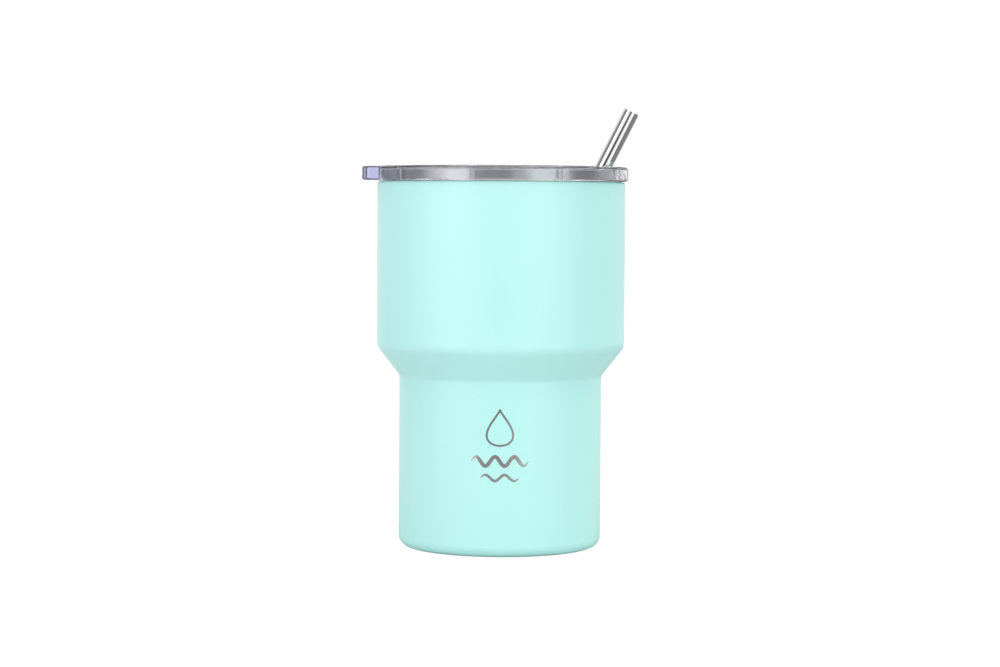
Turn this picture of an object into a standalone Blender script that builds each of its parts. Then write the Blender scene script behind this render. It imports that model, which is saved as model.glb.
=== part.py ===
"""Insulated travel mug: a stepped double-wall steel tumbler with a clear press-in lid,
a sliding sip closure and a straight steel straw.

Frame: metres, +Z up. The origin is on the table, at the centre of the base. The lid's
thumb tab points along -X, and the straw leans out over the sip opening along +X.
"""

from math import asin, atan2, cos, pi, radians, sin, tan

import bmesh
import bpy
from mathutils import Matrix, Vector

MM = 0.001

# Resolution
SEGMENTS = 40                 # sides of every large turned piece
SMALL_SEGMENTS = 16           # sides of small turned pieces
ARC_STEPS = 3                 # straight runs in each rounded corner
OUTLINE_STEPS = 6             # straight runs in each long arc of the lid's outlines
SLIDER_FRONT_STEPS = 4        # straight runs in the slider's front edge, on each side of its notch
NOTCH_STEPS = 10              # straight runs in the notch's round end
EDGE_STEPS = 1                # extra rows of faces across an extruded piece's rounded edge
MERGE = 0.00001

# Gap between pieces that touch on the real object
FIT_GAP = 0.3 * MM

# Tumbler, outside
UPPER_RADIUS = 46.5 * MM
LOWER_RADIUS = 38.0 * MM
CONE_TOP = 75.3 * MM          # where the cone's line meets the upper wall
CONE_BOTTOM = 64.4 * MM       # where the cone's line meets the lower wall
SHELL_TOP = 137.0 * MM
SHELL_WALL = 0.5 * MM
SHOULDER_ROUND = 5.7 * MM
WAIST_ROUND = 2.2 * MM
FOOT_ROUND = 4.1 * MM
FOOT_INNER_RADIUS = 29.5 * MM
SHELL_TOP_ROUND = 0.9 * MM

# Tumbler, inside
LINER_WALL = 0.5 * MM
LINER_LOWER_RADIUS = 33.9 * MM
LINER_UPPER_RADIUS = 42.0 * MM
LINER_CONE_BOTTOM = 67.3 * MM
LINER_CONE_TOP = 77.9 * MM
LINER_FLOOR = 8.0 * MM
LINER_FLOOR_ROUND = 5.0 * MM
LINER_CONE_ROUND = 4.0 * MM
MOUTH_RADIUS = 43.6 * MM
MOUTH_FLARE_BOTTOM = 121.0 * MM
MOUTH_FLARE_TOP = 126.0 * MM
LIP_RADIUS = 45.2 * MM
LIP_TOP = 141.4 * MM
LIP_SKIRT_BOTTOM = 136.0 * MM
LIP_SKIRT_TAPER = 1.5 * MM    # height over which the lip narrows to the liner's wall
LIP_ROUND = 0.7 * MM
FOIL_THICKNESS = 0.15 * MM
FOIL_TOP = 117.0 * MM

# Lid
FLANGE_RADIUS = 47.7 * MM
FLANGE_TOP = 142.6 * MM
FLANGE_BOTTOM = 137.2 * MM
FLANGE_ROUND = 0.8 * MM
SKIRT_CHAMFER_HEIGHT = 0.4 * MM   # outer corner of the skirt's lower edge
SKIRT_CHAMFER_DEPTH = 0.7 * MM
SKIRT_INNER_ROUND = 0.3 * MM  # inner corner of the same edge
SKIRT_INNER_RADIUS = 46.1 * MM
CHANNEL_TOP = 141.7 * MM
PLUG_RADIUS = 43.2 * MM
PLUG_INNER_RADIUS = 39.8 * MM
PLUG_BOTTOM = 129.0 * MM
PLUG_EDGE_ROUND = 0.6 * MM
DISH_FLOOR_TOP = 136.0 * MM
DISH_FLOOR_BOTTOM = 134.2 * MM
DISH_FLOOR_RADIUS = 40.0 * MM
DISH_TOP_RADIUS = 42.9 * MM
DISH_FLOOR_ROUND = 0.8 * MM
DISH_RIM_ROUND = 0.5 * MM
SEAL_GROOVE_RADIUS = 41.4 * MM
SEAL_GROOVE_BOTTOM = 130.2 * MM
SEAL_GROOVE_TOP = 133.8 * MM
SEAL_WAIST_DEPTH = 0.7 * MM   # how far the seal draws in between its two lips
SEAL_LIP_HEIGHT = 1.0 * MM
SEAL_SLOPE = 0.2 * MM         # height over which each lip narrows to the waist
TAB_REACH = 52.5 * MM
TAB_HALF_WIDTH = 15.6 * MM
TAB_ROUND = 4.0 * MM
TAB_EDGE_ROUND = 1.0 * MM
TAB_INSET = 0.1 * MM          # step from the flange's top and bottom to the tab's
TAB_BOW = 1.2 * MM            # how far the tab's middle stands out beyond its corners
TAB_BOW_ROUND = 60.0 * MM
RIB_COUNT = 9
RIB_FIRST_ANGLE = radians(-103)
RIB_HALF_WIDTH = 0.9 * MM
RIB_LIFT = 0.5 * MM           # height of a rib's foot above the skirt's lower edge
RIB_ROOT = 0.8 * MM           # how deep a rib reaches into the skirt's wall
RIB_TOP_ROOT = 0.4 * MM       # how deep it reaches into the flange

# Sip opening and its slider
SIP_INNER_X = 29.0 * MM
SIP_OUTER_RADIUS = 39.3 * MM
SIP_HALF_WIDTH = 9.0 * MM
SIP_CORNER_ROUND = 2.0 * MM
CUT_HEIGHT = 10.0 * MM        # height of the cutters that pass through the dish floor
SLIDER_TRAVEL = 12.0 * MM
SLIDER_HALF_WIDTH = 12.1 * MM
SLIDER_THICKNESS = 1.8 * MM
SLIDER_BOTTOM = DISH_FLOOR_TOP + FIT_GAP
SLIDER_REAR_CLOSED = 4.0 * MM
SLIDER_FRONT_RADIUS = 39.2 * MM
SLIDER_CORNER_ROUND = 2.0 * MM
NOTCH_HALF_WIDTH = 3.7 * MM
NOTCH_CENTRE_X = 34.8 * MM    # centre of the notch's round end when the slider is closed
GRIP_CENTRE_X = 21.0 * MM     # centre of the thumb grip when the slider is closed
GRIP_LENGTH = 10.0 * MM
GRIP_HALF_WIDTH = 7.0 * MM
GRIP_TOP = 141.0 * MM
GRIP_ROUND = 2.0 * MM
DIP_RADIUS = 8.0 * MM
DIP_DEPTH = 1.4 * MM
DIP_LENGTH = 30.0 * MM
RAIL_WALL = 1.6 * MM
RAIL_LIP = 1.2 * MM
RAIL_TOP = 139.7 * MM
RAIL_FRONT_X = 26.0 * MM
RAIL_ROOT = 0.5 * MM          # how deep the rails and the stop reach into the dish floor
RAIL_CLEARANCE = 0.4 * MM     # height between the slider and the rail's lip
STOP_LENGTH = 1.5 * MM
STOP_HALF_WIDTH = 6.0 * MM
STOP_HEIGHT = 1.6 * MM
VENT_RADIUS = 1.25 * MM
VENT_X = -30.0 * MM

# Straw
STRAW_RADIUS = 3.0 * MM
STRAW_WALL = 0.5 * MM
STRAW_EDGE_ROUND = 0.15 * MM
STRAW_LENGTH = 172.0 * MM
STRAW_LEAN = radians(26.6)
STRAW_END = (-28.4 * MM, 0.0, 9.75 * MM)    # centre of its lower end

# Base, welded shut and covered
BASE_PLATE_RADIUS = 34.0 * MM
BASE_WALL = 0.5 * MM
BASE_STEP_RADIUS = 28.9 * MM  # middle of the step's outer corner
BASE_RAISED_RADIUS = 26.9 * MM
BASE_MITRE = 0.1 * MM         # the step's corners differ by this above and below the plate
PORT_RADIUS = 1.6 * MM
PORT_PLATE_BOTTOM = 2.4 * MM
BEAD_RADIUS = 2.6 * MM
BEAD_THICKNESS = 0.8 * MM
BEAD_NECK_RISE = 0.3 * MM     # how far the bead's neck stands above the plate
BEAD_ROUND = 0.4 * MM
COVER_RECESS = 0.25 * MM
COVER_PANEL_RISE = 0.2 * MM
COVER_PANEL_RADIUS = 17.35 * MM
COVER_STEP_RADIUS = 18.35 * MM
COVER_MITRE = 0.15 * MM
GETTER_X = 14.0 * MM
GETTER_RADIUS = 4.5 * MM
GETTER_HEIGHT = 1.8 * MM
CLIP_THICKNESS = 0.3 * MM
CLIP_WIDTH = 3.0 * MM
CLIP_FOOT_LENGTH = 2.5 * MM
CLIP_BEND_ROUND = 0.5 * MM

CREASE_ANGLE = radians(35)    # edges sharper than this are shaded as edges


def clear_scene():
    """Remove every object of the open scene."""
    for obj in list(bpy.data.objects):
        bpy.data.objects.remove(obj, do_unlink=True)


def new_collection(name):
    collection = bpy.data.collections.new(name)
    bpy.context.scene.collection.children.link(collection)
    return collection


def make_material(name, colour, roughness, metallic=0.0, transmission=0.0):
    material = bpy.data.materials.new(name)
    material.use_nodes = True
    shader = material.node_tree.nodes["Principled BSDF"]
    shader.inputs["Base Color"].default_value = (*colour, 1.0)
    shader.inputs["Roughness"].default_value = roughness
    shader.inputs["Metallic"].default_value = metallic
    shader.inputs["Transmission Weight"].default_value = transmission
    material.diffuse_color = (*colour, 1.0)
    return material


def rounded(corners, closed=False):
    """Points of an outline whose corners are (a, b, radius), with each corner rounded."""
    points = []
    count = len(corners)
    for i, (a, b, radius) in enumerate(corners):
        corner = Vector((a, b))
        is_end = not closed and i in (0, count - 1)
        if radius == 0 or is_end:
            points.append(corner)
            continue
        before = (Vector(corners[i - 1][:2]) - corner).normalized()
        after = (Vector(corners[(i + 1) % count][:2]) - corner).normalized()
        half_angle = before.angle(after) / 2
        centre = corner + (before + after).normalized() * (radius / sin(half_angle))
        first = corner + before * (radius / tan(half_angle)) - centre
        last = corner + after * (radius / tan(half_angle)) - centre
        start = atan2(first.y, first.x)
        sweep = atan2(first.cross(last), first.dot(last))
        for step in range(ARC_STEPS + 1):
            angle = start + sweep * step / ARC_STEPS
            points.append(centre + Vector((cos(angle), sin(angle))) * radius)
    return points


def link(name, data, collection, material):
    obj = bpy.data.objects.new(name, data)
    collection.objects.link(obj)
    if material:
        data.materials.append(material)
    return obj


def settle(obj):
    """Replace an object's data by its evaluated mesh, welded, with crisp edges kept sharp."""
    bpy.context.view_layer.update()
    graph = bpy.context.evaluated_depsgraph_get()
    mesh = bpy.data.meshes.new_from_object(obj.evaluated_get(graph))
    welded = bmesh.new()
    welded.from_mesh(mesh)
    bmesh.ops.remove_doubles(welded, verts=welded.verts, dist=MERGE)
    welded.to_mesh(mesh)
    welded.free()
    mesh.shade_smooth()
    mesh.set_sharp_from_angle(angle=CREASE_ANGLE)
    settled = bpy.data.objects.new("settled", mesh)
    settled.matrix_world = obj.matrix_world.copy()
    for collection in obj.users_collection:
        collection.objects.link(settled)
    name = obj.name
    bpy.data.objects.remove(obj, do_unlink=True)
    settled.name = name
    mesh.name = name
    return settled


def turned(name, corners, collection, material, closed=False, segments=SEGMENTS, wall=0.0):
    """Turn a (radius, height, rounding) profile about Z; a wall thickens an open surface inwards."""
    points = rounded(corners, closed)
    mesh = bpy.data.meshes.new(name)
    edges = [(i, i + 1) for i in range(len(points) - 1)]
    if closed:
        edges.append((len(points) - 1, 0))
    mesh.from_pydata([(p.x, 0.0, p.y) for p in points], edges, [])
    obj = link(name, mesh, collection, material)
    screw = obj.modifiers.new("turn", "SCREW")
    screw.axis = "Z"
    screw.angle = 2 * pi
    screw.steps = segments
    screw.render_steps = segments
    screw.use_merge_vertices = True
    screw.merge_threshold = MERGE
    if wall:
        solidify = obj.modifiers.new("wall", "SOLIDIFY")
        solidify.thickness = wall
        solidify.offset = -1.0
        solidify.use_even_offset = True
    return settle(obj)


def extruded(name, outline, thickness, collection, material, edge_round=0.0):
    """Extrude a closed XY outline about z = 0; an edge rounding stays inside the outline."""
    curve = bpy.data.curves.new(name, "CURVE")
    curve.dimensions = "2D"
    curve.fill_mode = "BOTH"
    curve.extrude = thickness / 2 - edge_round
    curve.bevel_depth = edge_round
    curve.bevel_resolution = EDGE_STEPS
    curve.offset = -edge_round
    spline = curve.splines.new("POLY")
    spline.points.add(len(outline) - 1)
    for point, place in zip(spline.points, outline):
        point.co = (place[0], place[1], 0.0, 1.0)
    spline.use_cyclic_u = True
    return settle(link(name, curve, collection, material))


def transform(obj, matrix):
    """Move an object's mesh, so that its origin stays where it was."""
    obj.data.transform(matrix)


def cylinder(name, radius, height, centre, collection, axis="Z"):
    """A cylinder with its axis along Z or Y."""
    turn = Matrix.Rotation(pi / 2, 4, "X") if axis == "Y" else Matrix.Identity(4)
    shape = bmesh.new()
    bmesh.ops.create_cone(
        shape, cap_ends=True, segments=SMALL_SEGMENTS, radius1=radius, radius2=radius,
        depth=height, matrix=Matrix.Translation(centre) @ turn)
    mesh = bpy.data.meshes.new(name)
    shape.to_mesh(mesh)
    shape.free()
    return link(name, mesh, collection, None)


def box(name, low, high, collection):
    shape = bmesh.new()
    add_box(shape, low, high, Matrix.Identity(4))
    mesh = bpy.data.meshes.new(name)
    shape.to_mesh(mesh)
    shape.free()
    return link(name, mesh, collection, None)


def add_box(shape, low, high, turn):
    """Add a box between two corners to a bmesh, then turn it."""
    low = Vector(low)
    high = Vector(high)
    size = Matrix.Diagonal((*(high - low), 1.0))
    matrix = turn @ Matrix.Translation((low + high) / 2) @ size
    bmesh.ops.create_cube(shape, size=1.0, matrix=matrix)


def boolean(obj, tool, operation):
    """Join a tool to an object, or cut it out, and hide the tool."""
    modifier = obj.modifiers.new(tool.name, "BOOLEAN")
    modifier.operation = operation
    modifier.solver = "EXACT"
    modifier.object = tool
    tool.hide_render = True
    tool.display_type = "WIRE"


def arc(radius, start, end, steps):
    """Points on a circle about the origin."""
    angles = [start + (end - start) * i / steps for i in range(steps + 1)]
    return [(radius * cos(a), radius * sin(a)) for a in angles]


def make_outer_shell(mug, material):
    """Powder-coated outer wall, from its shoulder under the lip to its rolled foot."""
    profile = [
        (LIP_RADIUS + FIT_GAP, SHELL_TOP, 0),
        (UPPER_RADIUS, SHELL_TOP, SHELL_TOP_ROUND),
        (UPPER_RADIUS, CONE_TOP, SHOULDER_ROUND),
        (LOWER_RADIUS, CONE_BOTTOM, WAIST_ROUND),
        (LOWER_RADIUS, 0, FOOT_ROUND),
        (FOOT_INNER_RADIUS, 0, 0),
    ]
    turned("outer_shell", profile, mug, material, wall=SHELL_WALL)


def make_inner_liner(mug, material):
    """Bare steel inner cup, with the thick lip that is welded to the outer wall."""
    wall = LINER_WALL
    profile = [
        (0, LINER_FLOOR, 0),
        (LINER_LOWER_RADIUS, LINER_FLOOR, LINER_FLOOR_ROUND),
        (LINER_LOWER_RADIUS, LINER_CONE_BOTTOM, 0),
        (LINER_UPPER_RADIUS, LINER_CONE_TOP, LINER_CONE_ROUND),
        (LINER_UPPER_RADIUS, MOUTH_FLARE_BOTTOM, 0),
        (MOUTH_RADIUS, MOUTH_FLARE_TOP, 0),
        (MOUTH_RADIUS, LIP_TOP, LIP_ROUND),
        (LIP_RADIUS, LIP_TOP, LIP_ROUND),
        (LIP_RADIUS, LIP_SKIRT_BOTTOM, 0),
        (MOUTH_RADIUS + wall, LIP_SKIRT_BOTTOM - LIP_SKIRT_TAPER, 0),
        (MOUTH_RADIUS + wall, MOUTH_FLARE_TOP, 0),
        (LINER_UPPER_RADIUS + wall, MOUTH_FLARE_BOTTOM, 0),
        (LINER_UPPER_RADIUS + wall, LINER_CONE_TOP, LINER_CONE_ROUND),
        (LINER_LOWER_RADIUS + wall, LINER_CONE_BOTTOM, 0),
        (LINER_LOWER_RADIUS + wall, LINER_FLOOR - wall, LINER_FLOOR_ROUND + wall),
        (0, LINER_FLOOR - wall, 0),
    ]
    turned("inner_liner", profile, mug, material)


def make_reflector_foil(mug, material):
    """Foil wrapped around the liner inside the vacuum gap."""
    offset = LINER_WALL + FIT_GAP + FOIL_THICKNESS
    profile = [
        (LINER_UPPER_RADIUS + offset, FOIL_TOP, 0),
        (LINER_UPPER_RADIUS + offset, LINER_CONE_TOP, LINER_CONE_ROUND),
        (LINER_LOWER_RADIUS + offset, LINER_CONE_BOTTOM, 0),
        (LINER_LOWER_RADIUS + offset, LINER_FLOOR + LINER_FLOOR_ROUND, 0),
    ]
    turned("reflector_foil", profile, mug, material, wall=FOIL_THICKNESS)


def make_outer_base(mug, material):
    """Plate welded inside the foot; it closes the vacuum gap and holds the port."""
    low = SHELL_WALL + FIT_GAP
    port_z = PORT_PLATE_BOTTOM
    profile = [
        (PORT_RADIUS, port_z + BASE_WALL, 0),
        (BASE_RAISED_RADIUS + BASE_MITRE, port_z + BASE_WALL, 0),
        (BASE_STEP_RADIUS + BASE_MITRE, low + BASE_WALL, 0),
        (BASE_PLATE_RADIUS, low + BASE_WALL, 0),
        (BASE_PLATE_RADIUS, low, 0),
        (BASE_STEP_RADIUS - BASE_MITRE, low, 0),
        (BASE_RAISED_RADIUS - BASE_MITRE, port_z, 0),
        (PORT_RADIUS, port_z, 0),
    ]
    turned("outer_base", profile, mug, material, closed=True)


def make_base_cover(mug, material):
    """Disc that closes the recess under the foot, with a raised round panel."""
    radius = FOOT_INNER_RADIUS - FIT_GAP
    low = COVER_RECESS
    panel = low + COVER_PANEL_RISE
    profile = [
        (0, panel + BASE_WALL, 0),
        (COVER_PANEL_RADIUS + COVER_MITRE, panel + BASE_WALL, 0),
        (COVER_STEP_RADIUS + COVER_MITRE, low + BASE_WALL, 0),
        (radius, low + BASE_WALL, 0),
        (radius, low, 0),
        (COVER_STEP_RADIUS - COVER_MITRE, low, 0),
        (COVER_PANEL_RADIUS - COVER_MITRE, panel, 0),
        (0, panel, 0),
    ]
    turned("base_cover", profile, mug, material)


def make_vacuum_seal(mug, material):
    """Bead that plugs the port the air was pumped out through."""
    neck = PORT_RADIUS - FIT_GAP
    neck_top = PORT_PLATE_BOTTOM + BASE_WALL + BEAD_NECK_RISE
    head_top = PORT_PLATE_BOTTOM - FIT_GAP
    head_bottom = head_top - BEAD_THICKNESS
    profile = [
        (0, neck_top, 0),
        (neck, neck_top, 0),
        (neck, head_top, 0),
        (BEAD_RADIUS, head_top, 0),
        (BEAD_RADIUS, head_bottom, BEAD_ROUND),
        (0, head_bottom, 0),
    ]
    turned("vacuum_seal_bead", profile, mug, material, segments=SMALL_SEGMENTS)


def make_getter(mug, pellet_material, clip_material):
    """Gas-absorbing pellet on the base plate, and the sprung strap that holds it down."""
    floor = PORT_PLATE_BOTTOM + BASE_WALL + FIT_GAP
    profile = [
        (0, floor + GETTER_HEIGHT, 0),
        (GETTER_RADIUS, floor + GETTER_HEIGHT, 0),
        (GETTER_RADIUS, floor, 0),
        (0, floor, 0),
    ]
    pellet = turned("getter_pellet", profile, mug, pellet_material, segments=SMALL_SEGMENTS)
    pellet.location = (GETTER_X, 0, 0)

    strap = CLIP_THICKNESS
    leg = GETTER_RADIUS + FIT_GAP
    roof = GETTER_HEIGHT + FIT_GAP
    foot = leg + CLIP_FOOT_LENGTH
    bend = CLIP_BEND_ROUND
    outline = rounded([
        (-foot, 0, 0), (-leg, 0, 0), (-leg, roof, 0), (leg, roof, 0), (leg, 0, 0), (foot, 0, 0),
        (foot, strap, 0), (leg + strap, strap, 0), (leg + strap, roof + strap, bend),
        (-leg - strap, roof + strap, bend), (-leg - strap, strap, 0), (-foot, strap, 0),
    ], closed=True)
    clip = extruded("getter_clip", outline, CLIP_WIDTH, mug, clip_material)
    transform(clip, Matrix.Translation((0, 0, floor)) @ Matrix.Rotation(pi / 2, 4, "X"))
    clip.location = (GETTER_X, 0, 0)


def sip_outline():
    """Outline of the sip opening: straight inside, following the dish wall outside."""
    half = asin(SIP_HALF_WIDTH / SIP_OUTER_RADIUS)
    outer = [(x, y, 0) for x, y in arc(SIP_OUTER_RADIUS, -half, half, OUTLINE_STEPS)]
    inner = [
        (SIP_INNER_X, SIP_HALF_WIDTH, SIP_CORNER_ROUND),
        (SIP_INNER_X, -SIP_HALF_WIDTH, SIP_CORNER_ROUND),
    ]
    return rounded(outer + inner, closed=True)


def tab_outline():
    """Outline of the thumb tab, rooted in the flange's wall."""
    root_radius = (SKIRT_INNER_RADIUS + FLANGE_RADIUS) / 2
    half = asin(TAB_HALF_WIDTH / root_radius)
    root = [(x, y, 0) for x, y in arc(root_radius, pi + half, pi - half, OUTLINE_STEPS)]
    tip = [
        (TAB_BOW - TAB_REACH, TAB_HALF_WIDTH, TAB_ROUND),
        (-TAB_REACH, 0, TAB_BOW_ROUND),
        (TAB_BOW - TAB_REACH, -TAB_HALF_WIDTH, TAB_ROUND),
    ]
    return rounded(root + tip, closed=True)


def add_slider_track(lid, cutters):
    """Two L-shaped rails and a rear stop on the dish floor."""
    wall_y = SLIDER_HALF_WIDTH + FIT_GAP
    root = DISH_FLOOR_TOP - RAIL_ROOT
    lip_bottom = SLIDER_BOTTOM + SLIDER_THICKNESS + RAIL_CLEARANCE
    section = [
        (wall_y, root), (wall_y + RAIL_WALL, root), (wall_y + RAIL_WALL, RAIL_TOP),
        (wall_y - RAIL_LIP, RAIL_TOP), (wall_y - RAIL_LIP, lip_bottom), (wall_y, lip_bottom),
    ]
    rear = SLIDER_REAR_CLOSED - SLIDER_TRAVEL
    rails = extruded("slider_rails", section, RAIL_FRONT_X - rear, cutters, None)
    along_x = Matrix(((0, 0, 1, 0), (1, 0, 0, 0), (0, 1, 0, 0), (0, 0, 0, 1)))
    transform(rails, Matrix.Translation(((RAIL_FRONT_X + rear) / 2, 0, 0)) @ along_x)
    mirror = rails.modifiers.new("other_side", "MIRROR")
    mirror.use_axis = (False, True, False)
    mirror.merge_threshold = MERGE
    boolean(lid, rails, "UNION")
    stop_front = rear - FIT_GAP
    stop = box(
        "slider_stop", (stop_front - STOP_LENGTH, -STOP_HALF_WIDTH, root),
        (stop_front, STOP_HALF_WIDTH, DISH_FLOOR_TOP + STOP_HEIGHT), cutters)
    boolean(lid, stop, "UNION")


def add_centring_ribs(lid, cutters):
    """Broad upright ribs inside the flange's skirt that centre it on the lip."""
    shape = bmesh.new()
    low = (LIP_RADIUS + FIT_GAP, -RIB_HALF_WIDTH, FLANGE_BOTTOM + RIB_LIFT)
    high = (SKIRT_INNER_RADIUS + RIB_ROOT, RIB_HALF_WIDTH, CHANNEL_TOP + RIB_TOP_ROOT)
    for i in range(RIB_COUNT):
        turn = Matrix.Rotation(RIB_FIRST_ANGLE + 2 * pi * i / RIB_COUNT, 4, "Z")
        add_box(shape, low, high, turn)
    mesh = bpy.data.meshes.new("centring_ribs")
    shape.to_mesh(mesh)
    shape.free()
    boolean(lid, link("centring_ribs", mesh, cutters, None), "UNION")


def make_lid(mug, cutters, material):
    """Clear lid: flange and skirt over the lip, a plug in the mouth, and a dish inside."""
    profile = [
        (0, DISH_FLOOR_TOP, 0),
        (DISH_FLOOR_RADIUS, DISH_FLOOR_TOP, DISH_FLOOR_ROUND),
        (DISH_TOP_RADIUS, FLANGE_TOP, DISH_RIM_ROUND),
        (FLANGE_RADIUS, FLANGE_TOP, FLANGE_ROUND),
        (FLANGE_RADIUS, FLANGE_BOTTOM + SKIRT_CHAMFER_HEIGHT, 0),
        (FLANGE_RADIUS - SKIRT_CHAMFER_DEPTH, FLANGE_BOTTOM, 0),
        (SKIRT_INNER_RADIUS, FLANGE_BOTTOM, SKIRT_INNER_ROUND),
        (SKIRT_INNER_RADIUS, CHANNEL_TOP, 0),
        (PLUG_RADIUS, CHANNEL_TOP, 0),
        (PLUG_RADIUS, SEAL_GROOVE_TOP, 0),
        (SEAL_GROOVE_RADIUS, SEAL_GROOVE_TOP, 0),
        (SEAL_GROOVE_RADIUS, SEAL_GROOVE_BOTTOM, 0),
        (PLUG_RADIUS, SEAL_GROOVE_BOTTOM, 0),
        (PLUG_RADIUS, PLUG_BOTTOM, PLUG_EDGE_ROUND),
        (PLUG_INNER_RADIUS, PLUG_BOTTOM, 0),
        (PLUG_INNER_RADIUS, DISH_FLOOR_BOTTOM, 0),
        (0, DISH_FLOOR_BOTTOM, 0),
    ]
    lid = turned("lid_body", profile, mug, material)
    flange_mid = (FLANGE_TOP + FLANGE_BOTTOM) / 2
    tab_height = FLANGE_TOP - FLANGE_BOTTOM - 2 * TAB_INSET
    tab = extruded("thumb_tab", tab_outline(), tab_height, cutters, None, TAB_EDGE_ROUND)
    transform(tab, Matrix.Translation((0, 0, flange_mid)))
    boolean(lid, tab, "UNION")
    add_slider_track(lid, cutters)
    add_centring_ribs(lid, cutters)
    sip = extruded("sip_cut", sip_outline(), CUT_HEIGHT, cutters, None)
    transform(sip, Matrix.Translation((0, 0, DISH_FLOOR_BOTTOM)))
    boolean(lid, sip, "DIFFERENCE")
    vent = cylinder("vent_cut", VENT_RADIUS, CUT_HEIGHT, (VENT_X, 0, DISH_FLOOR_BOTTOM), cutters)
    boolean(lid, vent, "DIFFERENCE")


def make_lid_seal(mug, material):
    """Silicone ring in the plug's groove, with two soft lips that press on the mouth."""
    inner = SEAL_GROOVE_RADIUS + FIT_GAP
    outer = MOUTH_RADIUS - FIT_GAP
    waist = outer - SEAL_WAIST_DEPTH
    low = SEAL_GROOVE_BOTTOM + FIT_GAP
    high = SEAL_GROOVE_TOP - FIT_GAP
    profile = [
        (inner, high, 0),
        (outer, high, 0),
        (outer, high - SEAL_LIP_HEIGHT, 0),
        (waist, high - SEAL_LIP_HEIGHT - SEAL_SLOPE, 0),
        (waist, low + SEAL_LIP_HEIGHT + SEAL_SLOPE, 0),
        (outer, low + SEAL_LIP_HEIGHT, 0),
        (outer, low, 0),
        (inner, low, 0),
    ]
    turned("lid_seal", profile, mug, material, closed=True)


def slider_outline():
    """Outline of the slider when closed: an arc in front with a notch for the straw."""
    front = SLIDER_FRONT_RADIUS
    side = asin(SLIDER_HALF_WIDTH / front)
    mouth = asin(NOTCH_HALF_WIDTH / front)
    right = [(x, y) for x, y in arc(front, -side, -mouth, SLIDER_FRONT_STEPS)]
    left = [(x, -y) for x, y in reversed(right)]
    notch = [
        (NOTCH_CENTRE_X - NOTCH_HALF_WIDTH * sin(a), -NOTCH_HALF_WIDTH * cos(a))
        for a in [pi * i / NOTCH_STEPS for i in range(NOTCH_STEPS + 1)]
    ]
    rear = [
        (SLIDER_REAR_CLOSED, SLIDER_HALF_WIDTH, SLIDER_CORNER_ROUND),
        (SLIDER_REAR_CLOSED, -SLIDER_HALF_WIDTH, SLIDER_CORNER_ROUND),
    ]
    return rounded([(x, y, 0) for x, y in right + notch + left] + rear, closed=True)


def make_slider(mug, cutters, material):
    """Sip closure with a dished thumb grip; its origin stands at its open, rest position."""
    slider = extruded("slider", slider_outline(), SLIDER_THICKNESS, mug, material)
    transform(slider, Matrix.Translation((0, 0, SLIDER_BOTTOM + SLIDER_THICKNESS / 2)))
    slider.location.x = -SLIDER_TRAVEL
    half = GRIP_LENGTH / 2
    outline = rounded([
        (half, -GRIP_HALF_WIDTH, GRIP_ROUND), (half, GRIP_HALF_WIDTH, GRIP_ROUND),
        (-half, GRIP_HALF_WIDTH, GRIP_ROUND), (-half, -GRIP_HALF_WIDTH, GRIP_ROUND),
    ], closed=True)
    grip_bottom = SLIDER_BOTTOM + SLIDER_THICKNESS / 2
    grip = extruded("thumb_grip", outline, GRIP_TOP - grip_bottom, cutters, None)
    grip_x = GRIP_CENTRE_X - SLIDER_TRAVEL
    transform(grip, Matrix.Translation((grip_x, 0, (GRIP_TOP + grip_bottom) / 2)))
    boolean(slider, grip, "UNION")
    dip_centre = (grip_x, 0, GRIP_TOP + DIP_RADIUS - DIP_DEPTH)
    dip = cylinder("grip_dip", DIP_RADIUS, DIP_LENGTH, dip_centre, cutters, axis="Y")
    boolean(slider, dip, "DIFFERENCE")


def make_straw(mug, material):
    """Straight steel tube, leaning from the bottom corner of the liner to the sip opening."""
    inner = STRAW_RADIUS - STRAW_WALL
    profile = [
        (inner, STRAW_LENGTH, STRAW_EDGE_ROUND),
        (STRAW_RADIUS, STRAW_LENGTH, STRAW_EDGE_ROUND),
        (STRAW_RADIUS, 0, STRAW_EDGE_ROUND),
        (inner, 0, STRAW_EDGE_ROUND),
    ]
    straw = turned("straw", profile, mug, material, closed=True, segments=SMALL_SEGMENTS)
    straw.location = STRAW_END
    straw.rotation_euler = (0, STRAW_LEAN, 0)


def main():
    clear_scene()
    mug = new_collection("insulated_travel_mug")
    cutters = new_collection("cutters")
    mint = make_material("mint_powder_coat", (0.56, 0.92, 0.87), 0.55)
    steel = make_material("bare_steel", (0.62, 0.62, 0.64), 0.25, 1.0)
    polished = make_material("polished_steel", (0.72, 0.72, 0.73), 0.10, 1.0)
    foil = make_material("bright_foil", (0.85, 0.85, 0.86), 0.30, 1.0)
    solder = make_material("glass_solder", (0.20, 0.20, 0.22), 0.40)
    pellet = make_material("getter_alloy", (0.30, 0.30, 0.31), 0.80, 0.5)
    clear = make_material("clear_lid_plastic", (0.88, 0.88, 0.96), 0.08, 0.0, 0.9)
    silicone = make_material("white_silicone", (0.85, 0.86, 0.88), 0.60)

    make_outer_shell(mug, mint)
    make_inner_liner(mug, steel)
    make_reflector_foil(mug, foil)
    make_outer_base(mug, steel.copy())
    make_base_cover(mug, steel.copy())
    make_vacuum_seal(mug, solder)
    make_getter(mug, pellet, steel.copy())
    make_lid(mug, cutters, clear)
    make_lid_seal(mug, silicone)
    make_slider(mug, cutters, clear.copy())
    make_straw(mug, polished)
    bpy.context.view_layer.update()


main()
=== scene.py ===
"""Looks of the insulated travel mug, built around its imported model.

Lengths are in metres, in the part's own frame: +Z up, the lid's thumb tab along -X, the straw
leaning out along +X, and the front of the mug facing the camera along -Y.
"""
from math import asin, atan2, cos, pi, radians, sin, sqrt, tan

import bmesh
import bpy
from mathutils import Matrix, Vector


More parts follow.
